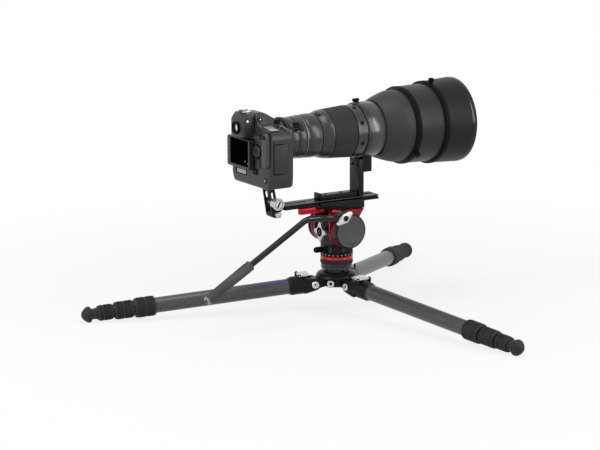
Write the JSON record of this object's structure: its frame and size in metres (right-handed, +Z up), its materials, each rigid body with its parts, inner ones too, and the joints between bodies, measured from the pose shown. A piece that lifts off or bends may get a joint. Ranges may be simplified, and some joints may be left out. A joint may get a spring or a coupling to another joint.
{
  "type": "camera on tripod",
  "caption": "Camera with a long telephoto lens on a fluid head and a low-spread carbon tripod; pans, tilts, folds its legs and extends their sections.",
  "frame": {"origin": "on the floor under the pan axis", "axes": "+X where the lens points, +Y the camera's left, +Z up"},
  "size_m": [0.9724, 0.9295, 0.4977],
  "materials": {
    "carbon": "satin carbon weave",
    "black_alloy": "black anodised",
    "grey_alloy": "dark grey satin paint",
    "red_alloy": "red anodised",
    "silver": "bright plated",
    "steel": "plated",
    "lens_paint": "satin dark grey paint",
    "hood_carbon": "matte dark grey",
    "rubber": "ribbed matte",
    "black_plastic": "textured black",
    "glass": "coated",
    "screen": "gloss black",
    "inner": "moulded"
  },
  "bodies": {
    "tripod": {"spider_hub": "black_alloy", "hub_fasteners": "steel", "head_base": "black_alloy"},
    "pan": {"pan_column": "black_alloy"},
    "tilt": {"tilt_frame": "red_alloy", "tilt_drums": "grey_alloy", "plate_receiver": "black_alloy"},
    "rail": {"support_rail": "black_alloy", "lens_foot": "black_alloy", "lens_collar": "lens_paint", "lens_barrel": "lens_paint", "lens_glass": "glass", "hood_rear": "hood_carbon", "hood_front": "hood_carbon", "camera_body": "black_plastic", "camera_back": "black_plastic", "monitor": "screen", "eyepiece": "rubber", "camera_internals": "inner"},
    "bar": {"pan_bar": "black_alloy"},
    "arm": {"support_arm": "grey_alloy"},
    "pan_drag_ring": {"pan_drag_ring": "red_alloy"},
    "pan_lock_knob": {"pan_lock_knob": "black_plastic"},
    "tilt_lock_knob": {"tilt_lock_knob": "silver"},
    "bar_clamp_lever": {"bar_clamp_lever": "silver"},
    "plate_lever": {"plate_lever": "red_alloy"},
    "arm_knob": {"arm_knob": "silver"},
    "arm_pivot_knob": {"arm_pivot_knob": "silver"},
    "focus_ring": {"focus_ring": "rubber"},
    "collar_knob": {"collar_knob": "black_alloy"},
    "hood_rear_knob": {"hood_rear_knob": "black_alloy"},
    "hood_front_knob": {"hood_front_knob": "black_alloy"},
    "shutter_button": {"shutter_button": "black_plastic"},
    "command_dial": {"command_dial": "rubber"},
    "multi_selector": {"multi_selector": "black_plastic"},
    "card_door": {"card_door": "black_plastic"},
    "leg_1": {"leg_1_upper": "carbon"},
    "leg_1_section_2": {"leg_1_tube_2": "carbon"},
    "leg_1_section_3": {"leg_1_tube_3": "carbon"},
    "leg_1_section_4": {"leg_1_tube_4_and_foot": "rubber"},
    "leg_1_latch": {"leg_1_latch": "silver"},
    "leg_1_lock_1": {"leg_1_lock_1": "rubber"},
    "leg_1_lock_2": {"leg_1_lock_2": "rubber"},
    "leg_1_lock_3": {"leg_1_lock_3": "rubber"},
    "leg_2": {"leg_2_upper": "carbon"},
    "leg_2_section_2": {"leg_2_tube_2": "carbon"},
    "leg_2_section_3": {"leg_2_tube_3": "carbon"},
    "leg_2_section_4": {"leg_2_tube_4_and_foot": "rubber"},
    "leg_2_latch": {"leg_2_latch": "silver"},
    "leg_2_lock_1": {"leg_2_lock_1": "rubber"},
    "leg_2_lock_2": {"leg_2_lock_2": "rubber"},
    "leg_2_lock_3": {"leg_2_lock_3": "rubber"},
    "leg_3": {"leg_3_upper": "carbon"},
    "leg_3_section_2": {"leg_3_tube_2": "carbon"},
    "leg_3_section_3": {"leg_3_tube_3": "carbon"},
    "leg_3_section_4": {"leg_3_tube_4_and_foot": "rubber"},
    "leg_3_latch": {"leg_3_latch": "silver"},
    "leg_3_lock_1": {"leg_3_lock_1": "rubber"},
    "leg_3_lock_2": {"leg_3_lock_2": "rubber"},
    "leg_3_lock_3": {"leg_3_lock_3": "rubber"}
  },
  "joints": [
    {"name": "pan_turn", "type": "hinge", "parent": "tripod", "child": "pan", "pos_m": [0, 0, 0.14], "axis": [0, 0, 1], "continuous": true},
    {"name": "tilt", "type": "hinge", "parent": "pan", "child": "tilt", "pos_m": [0, 0, 0.187], "axis": [0, -1, 0], "range_deg": [-70, 50], "stiffness_Nm_per_rad": 10},
    {"name": "leg_1_spread", "type": "hinge", "parent": "tripod", "child": "leg_1", "pos_m": [-0.04886, 0.01778, 0.064], "axis": [-0.342, -0.9397, 0], "range_deg": [0, 78]},
    {"name": "leg_2_spread", "type": "hinge", "parent": "tripod", "child": "leg_2", "pos_m": [0.00903, -0.05121, 0.064], "axis": [0.9848, 0.1736, 0], "range_deg": [0, 78]},
    {"name": "leg_3_spread", "type": "hinge", "parent": "tripod", "child": "leg_3", "pos_m": [0.03983, 0.03343, 0.064], "axis": [-0.6428, 0.766, 0], "range_deg": [0, 78]},
    {"name": "rail_slide", "type": "slide", "parent": "tilt", "child": "rail", "axis": [1, 0, 0], "range_m": [-0.03, 0.03]},
    {"name": "pan_bar_angle", "type": "hinge", "parent": "tilt", "child": "bar", "pos_m": [-0.028, -0.066, 0.223], "axis": [0, 1, 0], "range_deg": [-8, 28]},
    {"name": "support_arm_fold", "type": "hinge", "parent": "rail", "child": "arm", "pos_m": [-0.165, 0, 0.236], "axis": [0, -1, 0], "range_deg": [0, 80]},
    {"name": "focus_turn", "type": "hinge", "parent": "rail", "child": "focus_ring", "pos_m": [0, 0, 0.398], "axis": [1, 0, 0], "range_deg": [-60, 60]},
    {"name": "card_door_swing", "type": "hinge", "parent": "rail", "child": "card_door", "pos_m": [-0.179, -0.0829, 0.371], "axis": [0, 0, 1], "range_deg": [0, 85]},
    {"name": "leg_1_slide_2", "type": "slide", "parent": "leg_1", "child": "leg_1_section_2", "axis": [-0.9357, 0.3406, -0.0918], "range_m": [0, 0.27]},
    {"name": "leg_1_slide_3", "type": "slide", "parent": "leg_1_section_2", "child": "leg_1_section_3", "axis": [-0.9357, 0.3406, -0.0918], "range_m": [0, 0.27]},
    {"name": "leg_1_slide_4", "type": "slide", "parent": "leg_1_section_3", "child": "leg_1_section_4", "axis": [-0.9357, 0.3406, -0.0918], "range_m": [0, 0.27]},
    {"name": "leg_2_slide_2", "type": "slide", "parent": "leg_2", "child": "leg_2_section_2", "axis": [0.1729, -0.9806, -0.0918], "range_m": [0, 0.27]},
    {"name": "leg_2_slide_3", "type": "slide", "parent": "leg_2_section_2", "child": "leg_2_section_3", "axis": [0.1729, -0.9806, -0.0918], "range_m": [0, 0.27]},
    {"name": "leg_2_slide_4", "type": "slide", "parent": "leg_2_section_3", "child": "leg_2_section_4", "axis": [0.1729, -0.9806, -0.0918], "range_m": [0, 0.27]},
    {"name": "leg_3_slide_2", "type": "slide", "parent": "leg_3", "child": "leg_3_section_2", "axis": [0.7628, 0.6401, -0.0918], "range_m": [0, 0.27]},
    {"name": "leg_3_slide_3", "type": "slide", "parent": "leg_3_section_2", "child": "leg_3_section_3", "axis": [0.7628, 0.6401, -0.0918], "range_m": [0, 0.27]},
    {"name": "leg_3_slide_4", "type": "slide", "parent": "leg_3_section_3", "child": "leg_3_section_4", "axis": [0.7628, 0.6401, -0.0918], "range_m": [0, 0.27]},
    {"name": "leg_1_lock_1_twist", "type": "hinge", "parent": "leg_1", "child": "leg_1_lock_1", "pos_m": [-0.40163, 0.14618, 0.02939], "axis": [-0.9357, 0.3406, -0.0918], "range_deg": [0, 90]},
    {"name": "leg_1_lock_2_twist", "type": "hinge", "parent": "leg_1_section_2", "child": "leg_1_lock_2", "pos_m": [-0.44467, 0.16185, 0.02516], "axis": [-0.9357, 0.3406, -0.0918], "range_deg": [0, 90]},
    {"name": "leg_1_lock_3_twist", "type": "hinge", "parent": "leg_1_section_3", "child": "leg_1_lock_3", "pos_m": [-0.48304, 0.17581, 0.0214], "axis": [-0.9357, 0.3406, -0.0918], "range_deg": [0, 90]},
    {"name": "leg_1_latch_lift", "type": "hinge", "parent": "leg_1", "child": "leg_1_latch", "pos_m": [-0.08176, 0.02976, 0.08427], "axis": [-0.342, -0.9397, 0], "range_deg": [0, 35], "stiffness_Nm_per_rad": 0.05},
    {"name": "leg_2_lock_1_twist", "type": "hinge", "parent": "leg_2", "child": "leg_2_lock_1", "pos_m": [0.07422, -0.42091, 0.02939], "axis": [0.1729, -0.9806, -0.0918], "range_deg": [0, 90]},
    {"name": "leg_2_lock_2_twist", "type": "hinge", "parent": "leg_2_section_2", "child": "leg_2_lock_2", "pos_m": [0.08217, -0.46602, 0.02516], "axis": [0.1729, -0.9806, -0.0918], "range_deg": [0, 90]},
    {"name": "leg_2_lock_3_twist", "type": "hinge", "parent": "leg_2_section_3", "child": "leg_2_lock_3", "pos_m": [0.08926, -0.50623, 0.0214], "axis": [0.1729, -0.9806, -0.0918], "range_deg": [0, 90]},
    {"name": "leg_2_latch_lift", "type": "hinge", "parent": "leg_2", "child": "leg_2_latch", "pos_m": [0.01511, -0.08569, 0.08427], "axis": [0.9848, 0.1736, 0], "range_deg": [0, 35], "stiffness_Nm_per_rad": 0.05},
    {"name": "leg_3_lock_1_twist", "type": "hinge", "parent": "leg_3", "child": "leg_3_lock_1", "pos_m": [0.32741, 0.27473, 0.02939], "axis": [0.7628, 0.6401, -0.0918], "range_deg": [0, 90]},
    {"name": "leg_3_lock_2_twist", "type": "hinge", "parent": "leg_3_section_2", "child": "leg_3_lock_2", "pos_m": [0.3625, 0.30418, 0.02516], "axis": [0.7628, 0.6401, -0.0918], "range_deg": [0, 90]},
    {"name": "leg_3_lock_3_twist", "type": "hinge", "parent": "leg_3_section_3", "child": "leg_3_lock_3", "pos_m": [0.39378, 0.33042, 0.0214], "axis": [0.7628, 0.6401, -0.0918], "range_deg": [0, 90]},
    {"name": "leg_3_latch_lift", "type": "hinge", "parent": "leg_3", "child": "leg_3_latch", "pos_m": [0.06665, 0.05593, 0.08427], "axis": [-0.6428, 0.766, 0], "range_deg": [0, 35], "stiffness_Nm_per_rad": 0.05},
    {"name": "tilt_lock_knob_turn", "type": "hinge", "parent": "pan", "child": "tilt_lock_knob", "pos_m": [-0.04, 0, 0.181], "axis": [-1, 0, 0], "range_deg": [0, 180]},
    {"name": "pan_lock_knob_turn", "type": "hinge", "parent": "pan", "child": "pan_lock_knob", "pos_m": [-0.046, 0, 0.1415], "axis": [-1, 0, 0], "range_deg": [0, 180]},
    {"name": "pan_drag_ring_turn", "type": "hinge", "parent": "tripod", "child": "pan_drag_ring", "pos_m": [0, 0, 0.117], "axis": [0, 0, 1], "range_deg": [0, 150]},
    {"name": "bar_clamp_lever_turn", "type": "hinge", "parent": "tilt", "child": "bar_clamp_lever", "pos_m": [-0.028, -0.078, 0.223], "axis": [0, -1, 0], "range_deg": [-90, 90]},
    {"name": "plate_lever_turn", "type": "hinge", "parent": "tilt", "child": "plate_lever", "pos_m": [-0.05, -0.014, 0.233], "axis": [0, 0, 1], "range_deg": [0, 25]},
    {"name": "arm_knob_turn", "type": "hinge", "parent": "arm", "child": "arm_knob", "pos_m": [-0.17, -0.026, 0.2615], "axis": [0, -1, 0], "range_deg": [0, 180]},
    {"name": "arm_pivot_knob_turn", "type": "hinge", "parent": "rail", "child": "arm_pivot_knob", "pos_m": [-0.165, -0.022, 0.236], "axis": [0, -1, 0], "range_deg": [0, 180]},
    {"name": "collar_knob_turn", "type": "hinge", "parent": "rail", "child": "collar_knob", "pos_m": [0.056, 0.01146, 0.463], "axis": [0, 0.1736, 0.9848], "range_deg": [0, 180]},
    {"name": "hood_rear_knob_turn", "type": "hinge", "parent": "rail", "child": "hood_rear_knob", "pos_m": [0.165, -0.05201, 0.35737], "axis": [0, -0.788, -0.6157], "range_deg": [0, 180]},
    {"name": "hood_front_knob_turn", "type": "hinge", "parent": "rail", "child": "hood_front_knob", "pos_m": [0.24, -0.00804, 0.46351], "axis": [0, -0.1219, 0.9925], "range_deg": [0, 180]},
    {"name": "shutter_press", "type": "slide", "parent": "rail", "child": "shutter_button", "axis": [0, 0, -1], "range_m": [0, 0.0015], "stiffness_N_per_m": 400},
    {"name": "multi_selector_press", "type": "slide", "parent": "rail", "child": "multi_selector", "axis": [1, 0, 0], "range_m": [0, 0.001], "stiffness_N_per_m": 600},
    {"name": "command_dial_spin", "type": "hinge", "parent": "rail", "child": "command_dial", "pos_m": [-0.2225, -0.066, 0.419], "axis": [0, 0, 1], "continuous": true}
  ]
}
